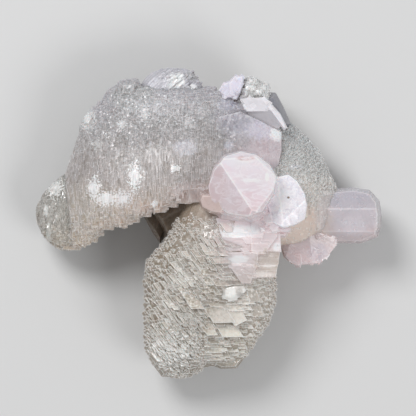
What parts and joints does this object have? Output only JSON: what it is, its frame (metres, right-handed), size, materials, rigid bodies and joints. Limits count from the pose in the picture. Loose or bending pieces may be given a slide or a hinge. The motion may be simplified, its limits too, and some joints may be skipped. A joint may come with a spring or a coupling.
{
  "type": "fluorescent calcite cluster",
  "caption": "Pale pink and cream calcite specimen: a curved wing, a stepped column and a prism radiate from rounded crystals. It lies on its flat broken-off back.",
  "frame": {"origin": "middle of the flat broken-off back that the cluster rests on", "axes": "+Z out of the front of the cluster, +X along its longest way towards the clear prism, -Y along the stepped column"},
  "size_m": [0.1201, 0.1084, 0.0601],
  "materials": {
    "calcite": "translucent, finely stepped crystal faces"
  },
  "bodies": {
    "root": {"calcite_cluster": "calcite"}
  },
  "joints": []
}
